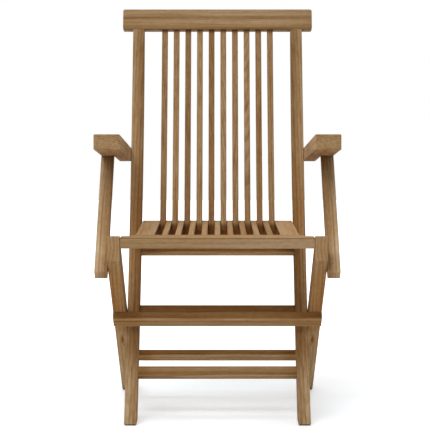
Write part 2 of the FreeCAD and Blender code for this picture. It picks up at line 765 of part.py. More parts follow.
# Hardware of the back frame: scissor pivots and arm pivots
bolts = []
nuts = []
washers = []
for p in (pivot, arm_pivot):
    bolts += both(bolt(p, STILE_IN + SINK, LEG_OUT - HEAD_SINK, BOLT_R, HEAD_R))
    nuts += both(hex_nut(p, STILE_IN + SINK, BOLT_R + FIXED_FIT))
    washers += both(washer(p, STILE_OUT, BOLT_R + FIXED_FIT, WASHER_R))
keep("frame_bolts", Part.makeCompound(bolts))
keep("frame_nuts", Part.makeCompound(nuts))
keep("frame_washers", Part.makeCompound(washers))

# Hardware of each arm, each post and the seat
post_bolt = bolt(post_pivot, LEG_IN + SINK, POST_OUT - HEAD_SINK, BOLT_R, HEAD_R)
post_nut = hex_nut(post_pivot, LEG_IN + SINK, BOLT_R + FIXED_FIT)
post_washer = washer(post_pivot, LEG_OUT, BOLT_R + FIXED_FIT, WASHER_R)
brace_bolt = bolt(brace, LEG_OUT + WASHER_PLAY, POST_OUT - HEAD_SINK, BOLT_R, HEAD_R)
brace_washer = washer(brace, LEG_OUT, BOLT_R + FIXED_FIT, WASHER_R)
for name, shape in (("post_bolt", post_bolt), ("post_nut", post_nut),
                    ("post_washer", post_washer), ("brace_bolt", brace_bolt),
                    ("brace_washer", brace_washer)):
    keep(name + "_right", shape)
    keep(name + "_left", mirrored(shape))
seat_bolt = bolt(seat_pivot, STILE_OUT - SEAT_BOLT_GRIP, LEG_OUT - HEAD_SINK, SEAT_BOLT_R,
                      SEAT_HEAD_R)
seat_washer = washer(seat_pivot, STILE_OUT, SEAT_BOLT_R + FIXED_FIT, SEAT_WASHER_R)
keep("seat_bolts", Part.makeCompound(both(seat_bolt)))
keep("seat_washers", Part.makeCompound(both(seat_washer)))

# Move the origin under the middle of the chair, then write one file per piece
low = min(shape.BoundBox.YMin for name, shape in nodes)
high = max(shape.BoundBox.YMax for name, shape in nodes)
MIDDLE_Y = (low + high) / 2
for name, shape in nodes:
    shape.translate(V(0, -MIDDLE_Y, 0))
    shape.exportStep("parts/" + name + ".step")
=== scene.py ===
# %% [markdown]
# A folding teak armchair, dressed and lit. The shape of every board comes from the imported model, which
# is loaded as a fixed frame. This lesson gives the boards their look: arrises rubbed round, teak whose
# growth rings run through each board, curved slats swept along a path, steel bolts, and a plain studio.

# %% Load the frame and note its box
import json
import math

import bmesh
import bpy
from mathutils import Euler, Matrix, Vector


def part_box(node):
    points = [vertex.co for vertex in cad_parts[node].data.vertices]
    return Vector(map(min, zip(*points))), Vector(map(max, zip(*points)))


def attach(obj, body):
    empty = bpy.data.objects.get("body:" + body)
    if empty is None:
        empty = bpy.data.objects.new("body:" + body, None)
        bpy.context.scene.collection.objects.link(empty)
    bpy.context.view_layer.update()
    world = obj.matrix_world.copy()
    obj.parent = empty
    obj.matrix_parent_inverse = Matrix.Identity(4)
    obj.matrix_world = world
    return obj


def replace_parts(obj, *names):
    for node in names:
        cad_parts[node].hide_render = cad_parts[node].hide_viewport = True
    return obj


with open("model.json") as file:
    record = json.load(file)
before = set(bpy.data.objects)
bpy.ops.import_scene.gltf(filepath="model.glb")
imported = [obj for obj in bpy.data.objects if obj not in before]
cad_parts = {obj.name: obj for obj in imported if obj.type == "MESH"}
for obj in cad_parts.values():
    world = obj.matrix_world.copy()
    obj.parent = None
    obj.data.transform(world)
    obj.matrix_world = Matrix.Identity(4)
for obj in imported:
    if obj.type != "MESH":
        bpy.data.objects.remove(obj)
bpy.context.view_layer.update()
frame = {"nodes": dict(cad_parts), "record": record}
nodes = frame["nodes"]
body_of = {node: body for body, members in frame["record"]["behaviour"]["bodies"].items()
           for node in members}
print("boards and fittings in the frame:", len(nodes))

# %% [markdown]
# The photograph was taken from straight in front with a long lens, a little above the arms. A long lens
# far away keeps the boards nearly parallel in the picture. The camera looks slightly down, and a tiny
# sideways shift puts the chair where it stands in the frame.

# %% The camera
PICTURE = 430
CAMERA_DISTANCE = 3.7379
CAMERA_HEIGHT = 0.7967
CAMERA_PITCH = math.radians(4.81)
FOCAL_PIXELS = 1517.7
SHIFT_PIXELS = -2.45

camera_data = bpy.data.cameras.new("studio_camera")
camera_data.sensor_width = 36.0
camera_data.lens = 36.0 * FOCAL_PIXELS / PICTURE
camera_data.shift_x = SHIFT_PIXELS / PICTURE
camera = bpy.data.objects.new("studio_camera", camera_data)
camera.location = (0.0, -CAMERA_DISTANCE, CAMERA_HEIGHT)
camera.rotation_euler = (math.pi / 2 - CAMERA_PITCH, 0.0, 0.0)
bpy.context.scene.collection.objects.link(camera)
bpy.context.scene.camera = camera
print("lens in mm:", round(camera_data.lens, 2))

# %% [markdown]
# A finish is a small machine of nodes: numbers come in on the left and a colour goes out on the right.
# A few helpers keep the wiring short. Each takes a plain value or the output of another node, and plugs
# it in the right way. Blender counts colours in linear light, so the last helper turns a colour as a
# picture editor shows it into one that Blender wants.

# %% Helpers for wiring nodes
def add_node(tree, kind, **settings):
    node = tree.nodes.new(kind)
    for name, value in settings.items():
        setattr(node, name, value)
    return node


def plug(tree, source, socket):
    """Links a node's output to a socket, or writes a plain value on it."""
    if isinstance(source, bpy.types.NodeSocket):
        tree.links.new(source, socket)
    else:
        socket.default_value = source


def maths(tree, operation, *terms):
    node = add_node(tree, "ShaderNodeMath", operation=operation)
    for term, socket in zip(terms, node.inputs):
        plug(tree, term, socket)
    return node.outputs[0]


def vectors(tree, operation, *terms):
    node = add_node(tree, "ShaderNodeVectorMath", operation=operation)
    for term, socket in zip(terms, node.inputs):
        plug(tree, term, socket)
    return node.outputs["Value"] if operation == "LENGTH" else node.outputs["Vector"]


def axes_of(tree, vector):
    """The X, Y and Z outputs of a vector, by name."""
    split = add_node(tree, "ShaderNodeSeparateXYZ")
    tree.links.new(vector, split.inputs[0])
    return {axis: split.outputs[axis] for axis in "XYZ"}


def join_axes(tree, *terms):
    """A vector from one, two or three numbers; the rest stay zero."""
    joined = add_node(tree, "ShaderNodeCombineXYZ")
    for term, socket in zip(terms, joined.inputs):
        plug(tree, term, socket)
    return joined.outputs[0]


def ramp(tree, value, start, end, low=0.0, high=1.0):
    """A smooth step: low up to start, high from end on."""
    node = add_node(tree, "ShaderNodeMapRange", interpolation_type="SMOOTHSTEP")
    for name, term in (("Value", value), ("From Min", start), ("From Max", end),
                       ("To Min", low), ("To Max", high)):
        plug(tree, term, node.inputs[name])
    return node.outputs["Result"]


def to_linear(red, green, blue):
    """A colour as a picture editor shows it, 0 to 255, as the linear colour that Blender wants."""
    def one(value):
        value = value / 255.0
        return value / 12.92 if value <= 0.04045 else ((value + 0.055) / 1.055) ** 2.4
    return (one(red), one(green), one(blue), 1.0)


print("sRGB 128 is linear", round(to_linear(128, 128, 128)[0], 3))

# %% [markdown]
# All finishes have three things in common. Each starts from an empty material, goes from one colour to
# another where the surface asks for it, and reads a point's place in the chair, so that its pattern stays
# with the chair. The finest grooves are relief that only the light sees: to model marks a tenth of a
# millimetre deep would take millions of faces.

# %% Helpers that all finishes share
def new_finish(name):
    """An empty finish, with its node tree and its shader."""
    finish = bpy.data.materials.new(name)
    finish.use_nodes = True
    return finish, finish.node_tree, finish.node_tree.nodes["Principled BSDF"]


def chair_place(tree):
    """Where a point lies in the chair, in metres."""
    return add_node(tree, "ShaderNodeTexCoord").outputs["Object"]


def blend(tree, share, first, second):
    """The first colour where share is 0 and the second where it is 1."""
    mix = add_node(tree, "ShaderNodeMix", data_type="RGBA")
    plug(tree, share, mix.inputs[0])
    mix.inputs[6].default_value = first
    mix.inputs[7].default_value = second
    return mix.outputs[2]


def add_relief(tree, shader, height, strength, distance, invert=False):
    """Marks so many metres high, or deep where inverted, that bend the light and not the shape."""
    relief = add_node(tree, "ShaderNodeBump", invert=invert)
    relief.inputs["Strength"].default_value = strength
    relief.inputs["Distance"].default_value = distance
    tree.links.new(height, relief.inputs["Height"])
    tree.links.new(relief.outputs["Normal"], shader.inputs["Normal"])


print("materials that came with the frame:", len(bpy.data.materials))

# %% [markdown]
# Teak is wood from a round trunk, so its figure is a stack of rings around the middle of the tree, cut by
# the saw. The finish copies that: each board has a pith line somewhere beside it, and the distance from
# that line, bent a little by slow noise, says where in a ring a point lies. Long faces then show stripes
# or arches, and the ends of the boards show arcs, all from one rule and without any picture.
#
# Darker teak is also redder. One gold raised to a power gives the whole range, from pale board to dark
# line, so growth lines, streaks and pores all add to one number: the depth of the colour. A second number,
# the warmth, moves a board from pale straw to honey.

# %% Two colours, and the place of a point in its board
STRAW = to_linear(166, 142, 111)
HONEY = to_linear(175, 132, 81)


def noise(tree, place, across, along, detail=2.0, roughness=0.5):
    """Noise with so many spots per metre across and along the grain, which runs on Z."""
    stretched = vectors(tree, "MULTIPLY", place, (across, across, along))
    cloud = add_node(tree, "ShaderNodeTexNoise")
    cloud.inputs["Scale"].default_value = 1.0
    cloud.inputs["Detail"].default_value = detail
    cloud.inputs["Roughness"].default_value = roughness
    tree.links.new(stretched, cloud.inputs["Vector"])
    return cloud.outputs["Fac"]


def board_place(tree, turn, centre, mirrored):
    """Where a point lies in its board: middle at zero, grain on Z, both sides of the chair alike."""
    place = chair_place(tree)
    if mirrored:
        at = axes_of(tree, place)
        place = join_axes(tree, maths(tree, "ABSOLUTE", at["X"]), at["Y"], at["Z"])
    turned = Euler(turn).to_matrix() @ Vector(centre)
    align = add_node(tree, "ShaderNodeMapping")
    align.inputs["Rotation"].default_value = turn
    align.inputs["Location"].default_value = -turned
    tree.links.new(place, align.inputs["Vector"])
    return align.outputs["Vector"]


def across_grain(tree, turn):
    """How squarely a face cuts across the grain: 1 for a sawn end, 0 for the long faces."""
    facing = add_node(tree, "ShaderNodeTexCoord").outputs["Normal"]
    align = add_node(tree, "ShaderNodeMapping", vector_type="VECTOR")
    align.inputs["Rotation"].default_value = turn
    tree.links.new(facing, align.inputs["Vector"])
    return maths(tree, "ABSOLUTE", axes_of(tree, align.outputs["Vector"])["Z"])


print("straw in linear light:", [round(part, 3) for part in STRAW[:3]])

# %% [markdown]
# The rings of a tree wander, and a board is never sawn quite parallel to the pith, so the lines on its
# faces drift and close to arches. A slow and a quick noise bend the rings, and the pith is tilted a
# little. In each ring the wood darkens slowly and stops at a sharp line, stronger in some years than in
# others. Around a small knot the rings bulge, which an oval does by adding to the ring number.

# %% Growth rings
PITH_TILT = (0.012, 0.016, 0.0)
WANDER = 0.02
RIPPLE = 0.0025
DARKENS_FROM = 0.25
DARKEST_AT = 0.82
WEAKEST_YEAR = 0.25


def rings(tree, place, pith, spacing):
    """Which ring a point lies in, as a running number that grows away from the pith."""
    tilted = add_node(tree, "ShaderNodeMapping")
    tilted.inputs["Rotation"].default_value = PITH_TILT
    tilted.inputs["Location"].default_value = (-pith[0], -pith[1], 0.0)
    tree.links.new(place, tilted.inputs["Vector"])
    flat = vectors(tree, "MULTIPLY", tilted.outputs["Vector"], (1.0, 1.0, 0.0))
    radius = vectors(tree, "LENGTH", flat)
    slow = maths(tree, "MULTIPLY_ADD", noise(tree, place, 9.0, 1.6), WANDER, radius)
    ripple = maths(tree, "MULTIPLY_ADD", noise(tree, place, 60.0, 5.0), RIPPLE, slow)
    return maths(tree, "DIVIDE", ripple, spacing)


def away_from(tree, place, spot, across, along):
    """0 at a spot of the board, 1 on an oval around it that is long along the grain."""
    off = vectors(tree, "SUBTRACT", place, spot)
    return vectors(tree, "LENGTH", vectors(tree, "MULTIPLY", off, (1 / across, 1 / across, 1 / along)))


def ring_line(tree, number):
    """The dark late wood near the end of each ring, stronger in some rings than in others."""
    share = maths(tree, "FRACT", number)
    rise = ramp(tree, share, DARKENS_FROM, DARKEST_AT)
    fall = ramp(tree, share, DARKEST_AT, 1.0, 1.0, 0.0)
    year = add_node(tree, "ShaderNodeTexWhiteNoise", noise_dimensions="1D")
    plug(tree, maths(tree, "FLOOR", number), year.inputs["W"])
    strength = maths(tree, "MULTIPLY_ADD", year.outputs["Value"], 1.0 - WEAKEST_YEAR, WEAKEST_YEAR)
    return maths(tree, "MULTIPLY", maths(tree, "MULTIPLY", rise, fall), strength)


print("the late wood is darkest at", DARKEST_AT, "of each ring")

# %% [markdown]
# The slats of a row are one mesh with one finish, and they would all look alike. Each could have a finish
# of its own, but the place of a slat in its row is enough: it gives the slat a number, and the number
# picks a jump to another part of the plank and the slat's own depth of colour from a small table.

# %% A piece of the plank for each board of a row
PLANK_JUMP = (0.05, 0.05, 3.0)
DEEPEST = 2.0


def own_board(tree, place, pitch, offset, depths, shift):
    """The place in the plank and the depth of colour of each board of a row."""
    across = axes_of(tree, chair_place(tree))["X"]
    index = maths(tree, "FLOOR", maths(tree, "MULTIPLY_ADD", across, 1 / pitch, offset))
    own = add_node(tree, "ShaderNodeTexWhiteNoise", noise_dimensions="1D")
    plug(tree, maths(tree, "ADD", index, shift), own.inputs["W"])
    jump = vectors(tree, "MULTIPLY", own.outputs["Color"], PLANK_JUMP)
    table = add_node(tree, "ShaderNodeValToRGB")
    table.color_ramp.interpolation = "CONSTANT"
    while len(table.color_ramp.elements) < len(depths):
        table.color_ramp.elements.new(0.5)
    for number, value in enumerate(depths):
        table.color_ramp.elements[number].position = number / len(depths)
        table.color_ramp.elements[number].color = (value / DEEPEST,) * 3 + (1.0,)
    share = maths(tree, "DIVIDE", maths(tree, "ADD", index, len(depths) // 2 + 0.5), len(depths))
    plug(tree, share, table.inputs["Fac"])
    return vectors(tree, "ADD", place, jump), maths(tree, "MULTIPLY", table.outputs["Color"], DEEPEST)


print("boards of a row lie up to", PLANK_JUMP[2], "m apart in the plank")

# %% [markdown]
# The tone changes within a board too, in three kinds of marks. A step makes the wood darker or paler from
# one height or side on, a stripe does so around one height, and an oval bends the rings around a small knot.
# Most steps and stripes are painted light and shade: darker where the seat, an arm or a leg shades a board,
# paler where the floor and the lamps light it, and thin painted highlights and shade lines along arrises.
# They lie in the wood itself and not in the picture, so they look the same from every side.

# %% Steps and stripes within a board
def add_marks(tree, value, where, steps, stripes=()):
    """Adds to a depth or a warmth what the marks give at a place."""
    for axis, start, end, more in steps:
        value = maths(tree, "ADD", value, ramp(tree, where[axis], start, end, 0.0, more))
    for axis, middle, half, more in stripes:
        off = maths(tree, "ABSOLUTE", maths(tree, "SUBTRACT", where[axis], middle))
        value = maths(tree, "ADD", value, ramp(tree, off, 0.0, half, more, 0.0))
    return value


def both_sides(tree):
    """A point's place with X counted outwards from the middle, the same on both sides of the chair."""
    where = axes_of(tree, chair_place(tree))
    where["X"] = maths(tree, "ABSOLUTE", where["X"])
    return where


print("marks are measured from the middle of the chair and from the floor")

# %% [markdown]
# The whole finish reads a board's place, builds the depth of its colour and lets the same lines steer
# gloss and relief: late wood is denser and a touch smoother, pores are tiny grooves. Sawn ends are calmer
# than long faces, because there the fibres are cut across. Paired boards share one finish that mirrors at
# the middle of the chair, as boards sawn from one plank would.

# %% The teak finish
SEED_STEP = (0.37, 0.53, 1.9)
# how many marks to a metre across the grain and along it, and how finely they are divided
PATCHES = (8.0, 1.3, 1.0)
SPOTS = (150.0, 60.0, 2.0)
STREAKS = (170.0, 5.0, 2.0)
FIBRES = (700.0, 16.0, 2.0)
PORES = (2300.0, 90.0, 1.0)
PATCH_SHARE = 0.8
FIBRE_SHARE = 0.07
PORE_SHARE = 0.35
SLANTED_CUT = (0.55, 0.80)
SQUARE_CUT = (0.84, 0.95)
CALM_ENDS = 0.2
WARMTH_DRIFT = 0.5
ROUGH_EARLY_WOOD = 0.84
ROUGH_LATE_WOOD = 0.70
GLOSS = 0.08


def teak(name, turn, centre, mirrored=False, row=None, shift=0.0, depth=1.0, warmth=0.3,
         pith=(0.10, 0.03), spacing=0.0052, lines=0.30, fine=0.28, mottle=0.16, end_depth=0.10,
         end_warmth=0.0, steps=(), stripes=(), warm_steps=(), ovals=()):
    """Planed teak without oil. depth is 1 for pale wood and about 1.5 for dark wood.

    lines, fine and mottle say how much rings, streaks and small spots add to the depth. pith is where
    the middle of the tree lies beside the board. A row is (pitch, offset, depths). Marks are in metres,
    where the chair stands: steps are (axis, from, to, more), stripes (axis, middle, half width, more),
    and ovals, which bend the rings as a knot does, (spot, half width, half length, swell, more)."""
    finish, tree, shader = new_finish(name)
    place = board_place(tree, turn, centre, mirrored)
    depth_now = depth
    if row:
        place, depth_now = own_board(tree, place, *row, shift)

    seeded = vectors(tree, "ADD", place, [shift * step for step in SEED_STEP])
    number = rings(tree, place, pith, spacing)
    for spot, across, along, swell, more in ovals:
        own_spot = Euler(turn).to_matrix() @ (Vector(spot) - Vector(centre))
        away = away_from(tree, place, own_spot, across, along)
        number = maths(tree, "ADD", number, ramp(tree, away, 0.0, 1.0, swell, 0.0))
        depth_now = maths(tree, "ADD", depth_now, ramp(tree, away, 0.1, 0.8, more, 0.0))
    late = ring_line(tree, number)
    patches = noise(tree, seeded, *PATCHES)
    spots = noise(tree, seeded, *SPOTS)
    streaks = ramp(tree, noise(tree, seeded, *STREAKS), 0.42, 0.75)
    fibres = ramp(tree, noise(tree, seeded, *FIBRES), 0.35, 0.75)
    pores = ramp(tree, noise(tree, seeded, *PORES), 0.60, 0.72)
    cut = across_grain(tree, turn)
    ends = ramp(tree, cut, *SQUARE_CUT)
    calm = ramp(tree, cut, *SLANTED_CUT, 1.0, CALM_ENDS)
    streaks, fibres, pores = (maths(tree, "MULTIPLY", marks, calm) for marks in (streaks, fibres, pores))

    for amount, share in ((late, lines), (maths(tree, "SUBTRACT", patches, 0.5), PATCH_SHARE),
                          (maths(tree, "SUBTRACT", spots, 0.5), 2 * mottle), (streaks, fine),
                          (fibres, FIBRE_SHARE), (pores, PORE_SHARE), (ends, end_depth)):
        depth_now = maths(tree, "MULTIPLY_ADD", amount, share, depth_now)
    where = both_sides(tree)
    depth_now = add_marks(tree, depth_now, where, steps, stripes)

    drift = noise(tree, seeded, 22.0, 1.1, 1.0)
    warmth_now = maths(tree, "MULTIPLY_ADD", drift, WARMTH_DRIFT, warmth - WARMTH_DRIFT / 2)
    warmth_now = maths(tree, "MULTIPLY_ADD", ends, end_warmth, warmth_now)
    warmth_now = add_marks(tree, warmth_now, where, warm_steps)
    deepened = add_node(tree, "ShaderNodeGamma")
    tree.links.new(blend(tree, warmth_now, STRAW, HONEY), deepened.inputs["Color"])
    plug(tree, depth_now, deepened.inputs["Gamma"])
    tree.links.new(deepened.outputs["Color"], shader.inputs["Base Color"])

    rough = ramp(tree, late, 0.0, 1.0, ROUGH_EARLY_WOOD, ROUGH_LATE_WOOD)
    tree.links.new(rough, shader.inputs["Roughness"])
    shader.inputs["Specular IOR Level"].default_value = GLOSS
    grooves = maths(tree, "MULTIPLY_ADD", fibres, 0.3, pores)
    add_relief(tree, shader, grooves, strength=0.35, distance=0.0003, invert=True)
    return finish


print("teak: roughness", ROUGH_EARLY_WOOD, "to", ROUGH_LATE_WOOD)

# %% [markdown]
# Wood is strong along its grain only, so a joiner lays the grain along every board. The finish has its
# grain on Z, and one turn for each kind of board brings the board's own direction there. In the side view
# the stiles lean back a little, the legs slope the other way, and the arms lie almost level.

# %% The direction of the grain
def slope_turn(degrees):
    """Turn that brings a grain in the side view, in degrees above the rear direction, onto Z."""
    return (math.radians(90.0 - degrees), 0.0, 0.0)


SIDEWAYS = (0.0, math.pi / 2, 0.0)
STILE_GRAIN = slope_turn(63.3)
LEG_GRAIN = slope_turn(143.0)
POST_GRAIN = slope_turn(46.6)
ARM_GRAIN = slope_turn(174.0)
SEAT_GRAIN = (math.pi / 2, 0.0, 0.0)


def middle_of(name):
    low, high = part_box(name)
    return (low + high) / 2


print("middle of the right stile:", [round(part, 3) for part in middle_of("stile_right")])

# %% [markdown]
# Modifiers and node trees are recipes, and a finished piece is a plain mesh that rides on a part of the
# chair. So a maker object carries the recipe, what it makes is taken as a new mesh, and the maker is
# thrown away. The piece stands at the origin, unturned, with its place in its mesh.

# %% From a maker to a finished piece
def finished(name, mesh, body):
    piece = bpy.data.objects.new(name, mesh)
    bpy.context.scene.collection.objects.link(piece)
    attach(piece, body)
    return piece


def settled(maker):
    """The mesh that an object's modifiers make; the object itself is thrown away."""
    bpy.context.view_layer.update()
    ready = maker.evaluated_get(bpy.context.evaluated_depsgraph_get())
    mesh = bpy.data.meshes.new_from_object(ready)
    bpy.data.objects.remove(maker)
    return mesh


# %% [markdown]
# On the real chair every arris is rubbed round with sandpaper. The model has narrow flat bevels there.
# A merged copy of each board gets one more small bevel, which turns the flats into rounds, and normals
# weighted by area keep the wide faces flat. The copy stands for the board and rides with it.

# %% Boards with rubbed arrises
RUB = 0.0006


def weigh_normals(maker):
    for polygon in maker.data.polygons:
        polygon.use_smooth = True
    weighing = maker.modifiers.new("flat faces stay flat", "WEIGHTED_NORMAL")
    weighing.weight = 100
    weighing.keep_sharp = True


def rubbed(name, rub_width=RUB):
    """A merged copy of a node, its flat triangles joined and its arrises rounded."""
    build = bmesh.new()
    build.from_mesh(nodes[name].data)
    bmesh.ops.remove_doubles(build, verts=build.verts, dist=1e-6)
    bmesh.ops.dissolve_limit(build, angle_limit=math.radians(0.4), verts=build.verts,
                             edges=build.edges)
    build.verts.index_update()
    mesh = bpy.data.meshes.new(name + "_rubbed")
    mesh.from_pydata([corner.co[:] for corner in build.verts], [],
                     [[corner.index for corner in face.verts] for face in build.faces])
    build.free()
    maker = bpy.data.objects.new(name + "_maker", mesh)
    bpy.context.scene.collection.objects.link(maker)
    rub = maker.modifiers.new("rub", "BEVEL")
    rub.width = rub_width
    rub.segments = 2
    rub.limit_method = "ANGLE"
    rub.angle_limit = math.radians(28)
    weigh_normals(maker)
    return settled(maker)


def dress(name, finish, prefix="wood_", rub_width=RUB):
    mesh = rubbed(name, rub_width)
    mesh.materials.clear()
    mesh.materials.append(finish)
    piece = finished(prefix + name, mesh, body_of[name])
    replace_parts(piece, name)
    return piece


print("arrises rubbed by", RUB * 1000, "mm")

# %% [markdown]
# Each board gets its grain along its own length: the stiles nearly upright, the rails from side to side,
# the legs, posts and arms along their slope. Boards differ in depth of colour as they do on the chair: the
# arm posts are the palest and the arms the warmest. The stiles turn paler and warmer under the seat, and the
# stiles and rear legs are painted paler towards their feet, as painted light where the lamp in front reaches
# them below the seat's shade. The posts carry painted shade under the arms, and each arm a painted paler
# inner face.

# %% Dress the paired boards
PAIRS = {
    # stile: darker towards its inner edge, paler and warmer below the seat, and paler towards the foot,
    # which is painted light
    "stile": dict(turn=STILE_GRAIN, depth=1.07, warmth=0.10, lines=0.32, pith=(-0.11, 0.02), shift=1.0,
                  spacing=0.0085,
                  steps=[("X", 0.218, 0.194, 0.44), ("Z", 0.42, 0.36, -0.18), ("Z", 0.26, 0.22, 0.10),
                         ("Z", 0.20, 0.08, -0.32)],
                  warm_steps=[("Z", 0.70, 0.36, 0.36), ("Z", 0.20, 0.08, -0.15)]),
    # rear leg: warmer below the seat, and paler towards the foot, which is painted light below the seat's
    # shade; one knot
    "rear_leg": dict(turn=LEG_GRAIN, depth=1.04, warmth=0.34, lines=0.28, pith=(0.12, -0.02), shift=2.0,
                     spacing=0.0080,
                     steps=[("Z", 0.415, 0.395, -0.03), ("Z", 0.40, 0.34, 0.07),
                            ("Z", 0.24, 0.18, -0.43), ("Z", 0.16, 0.08, -0.16)],
                     warm_steps=[("Z", 0.42, 0.34, 0.40)],
                     ovals=[((0.236, -0.003, 0.172), 0.0065, 0.040, 1.8, 0.80)]),
    # arm post: darker towards its inner edge and paler at its lower end; darker and warmer at the top, which
    # is painted shade under the arm; one knot
    "arm_post": dict(turn=POST_GRAIN, depth=0.94, warmth=0.32, lines=0.27, pith=(0.12, 0.01), shift=3.0,
                     spacing=0.0075,
                     steps=[("X", 0.280, 0.256, 0.42), ("Z", 0.62, 0.645, 0.35), ("Z", 0.48, 0.42, -0.22)],
                     warm_steps=[("Z", 0.60, 0.64, 0.2)],
                     ovals=[((0.267, -0.188, 0.493), 0.005, 0.026, 1.4, 0.28)]),
    # arm: its inner face is painted paler, which is painted light
    "arm": dict(turn=ARM_GRAIN, depth=1.08, warmth=0.60, lines=0.30, pith=(0.03, -0.14), shift=4.0,
                end_depth=0.03, end_warmth=-0.36, mottle=0.34,
                steps=[("X", 0.2245, 0.2220, -0.46)]),
}
for stem, look in PAIRS.items():
    finish = teak("teak_" + stem, centre=middle_of(stem + "_right"), mirrored=True, **look)
    for side in ("_left", "_right"):
        piece = dress(stem + side, finish)
        print(piece.name, len(piece.data.polygons), "faces")

# %% [markdown]
# The boards that run from side to side have their grain on X. The top rail is greyer than the others, and
# the two rails close under the seat are the darkest. Most of these boards carry painted light and shade
# along an edge, which their stripes and steps give: painted shade where the seat or a leg shades them,
# painted light where the floor lights them, and thin painted highlights and shade lines along arrises.

# %% Dress the boards that cross the chair
CROSSING = {
    # top rail: a paler underside, which is painted light from below, a painted shade line along its lower
    # arris, and a darker line higher up
    "top_rail": dict(depth=1.25, warmth=0.04, lines=0.18, pith=(0.10, 0.03), shift=6.0,
                     steps=[("Z", 0.9480, 0.9455, -0.34)],
                     stripes=[("Z", 0.979, 0.008, 0.34), ("Z", 0.953, 0.012, 0.24)]),
    # lower back rail: painted light along its lower edge, with a warmer tone, and painted shade along its
    # top, under the seat
    "lower_back_rail": dict(depth=1.28, warmth=0.50, lines=0.2, pith=(0.09, 0.02), shift=7.0,
                            steps=[("Z", 0.3875, 0.3850, -0.70), ("Z", 0.400, 0.415, 0.05),
                                   ("Z", 0.420, 0.432, 0.90)],
                            warm_steps=[("Z", 0.3875, 0.3850, 0.50)]),
    "pivot_rail": dict(depth=1.37, warmth=0.48, lines=0.3, pith=(0.08, 0.03), shift=8.0),
    # front stretcher: painted shade at its ends by the stiles, a darker line along its front, and one knot
    "front_stretcher": dict(depth=0.95, warmth=0.45, lines=0.26, pith=(0.07, 0.04), shift=9.0,
                            steps=[("X", 0.150, 0.190, 0.25)], stripes=[("Z", 0.1115, 0.006, 0.42)],
                            ovals=[((-0.036, -0.133, 0.119), 0.005, 0.014, 1.2, 0.5)]),
    # cross board: painted shade on its upper face, under the seat, and at its ends by the legs, and a
    # painted highlight along the arris below that face
    "cross_board": dict(depth=0.92, warmth=0.70, lines=0.22, pith=(0.10, 0.06), shift=10.0,
                        steps=[("Z", 0.2425, 0.2440, 0.30), ("X", 0.170, 0.200, 0.14)],
                        stripes=[("Z", 0.2398, 0.0055, -0.36)],
                        warm_steps=[("Z", 0.2425, 0.2440, -0.22)]),
    # rear stretcher: painted shade on its upper face, under the seat, and at its ends by the stiles, and a
    # painted highlight along the arris below that face
    "rear_stretcher": dict(depth=0.87, warmth=0.90, lines=0.2, pith=(0.08, 0.02), shift=11.0,
                           steps=[("Z", 0.1145, 0.1170, 0.38), ("X", 0.150, 0.190, 0.25)],
                           stripes=[("Z", 0.1113, 0.004, -0.32)],
                           warm_steps=[("Z", 0.1145, 0.1170, -0.10)]),
    # seat front rail: a painted shade line along its top arris and a faint darker band lower down
    "seat_front_rail": dict(depth=0.98, warmth=0.18, lines=0.12, pith=(0.11, 0.03), shift=12.0, fine=0.14,
                            stripes=[("Z", 0.445, 0.006, 0.08), ("Z", 0.4550, 0.0024, 0.55)]),
    "seat_rear_rail": dict(depth=1.10, lines=0.26, pith=(0.10, 0.02), shift=13.0),
}
for name, look in CROSSING.items():
    piece = dress(name, teak("teak_" + name, SIDEWAYS, centre=middle_of(name), **look))
    print(piece.name, len(piece.data.polygons), "faces")

# %% [markdown]
# The ten back slats are one curved strip, repeated. They could be copied by hand, but Geometry Nodes keep
# the row in one place: the tree takes a path, sweeps a rectangle with rounded corners along it, and sets
# copies side by side. The seat slats use the same tree with a straight path, and its width, thickness,
# spacing and number are inputs.

# %% A node tree that makes a row of slats
def add_input(tree, name, kind, in_out="INPUT"):
    return tree.interface.new_socket(name=name, in_out=in_out, socket_type="NodeSocket" + kind)


